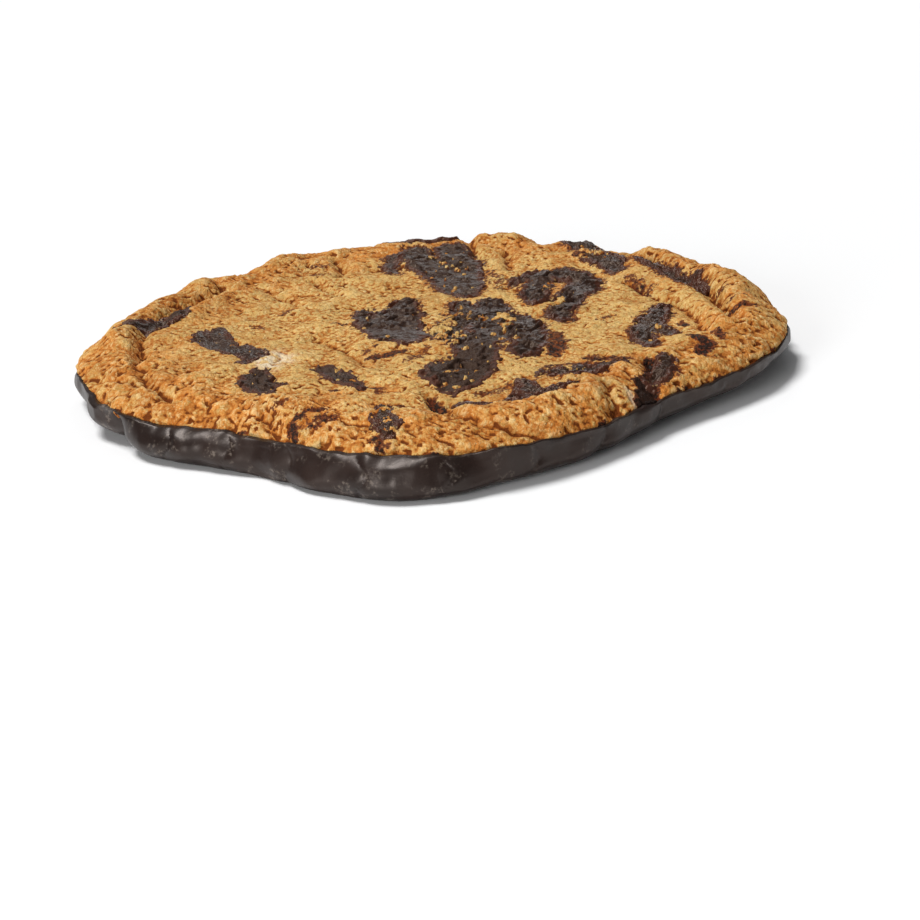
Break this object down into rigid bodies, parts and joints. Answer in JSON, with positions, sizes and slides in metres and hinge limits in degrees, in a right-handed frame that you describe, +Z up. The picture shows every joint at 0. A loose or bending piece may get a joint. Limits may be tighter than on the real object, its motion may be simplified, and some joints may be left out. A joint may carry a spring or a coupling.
{
  "type": "cookie",
  "caption": "Giant flat chocolate chunk cookie: crisp craggy golden crust with pools of melted dark chunks, its base and edge dipped in dark chocolate",
  "frame": {"origin": "the centre of the bounding box's base: on the surface that the cookie lies on, under the middle of its outline", "axes": "+Z points up out of the crust, which is the thin way through; the front, where the dip's lip is highest, faces -Y, and +X is to the right of someone who looks at that front"},
  "size_m": [0.1429, 0.1456, 0.0133],
  "materials": {
    "dough": "matt, dry and crumbly baked crust, blond in the middle and orange-brown at the rim",
    "coating": "set dark chocolate with a soft satin shine and smooth bulges",
    "chunks": "melted and set dark chocolate, dull satin with fine wrinkles"
  },
  "bodies": {
    "root": {"dough": "dough", "chocolate_dip": "coating", "chunk_left_rim": "chunks", "chunk_left_stroke": "chunks", "chunk_left_foot": "chunks", "chunk_small_stroke": "chunks", "chunk_middle": "chunks", "chunk_back_wedge": "chunks", "chunk_back_rim": "chunks", "chunk_right_top": "chunks", "chunk_back_right": "chunks", "chunk_fold_right": "chunks", "chunk_right_leaf": "chunks", "chunk_front_streak": "chunks", "chunk_groove": "chunks", "chunk_front_right": "chunks", "chunk_front_spot": "chunks"}
  },
  "joints": []
}
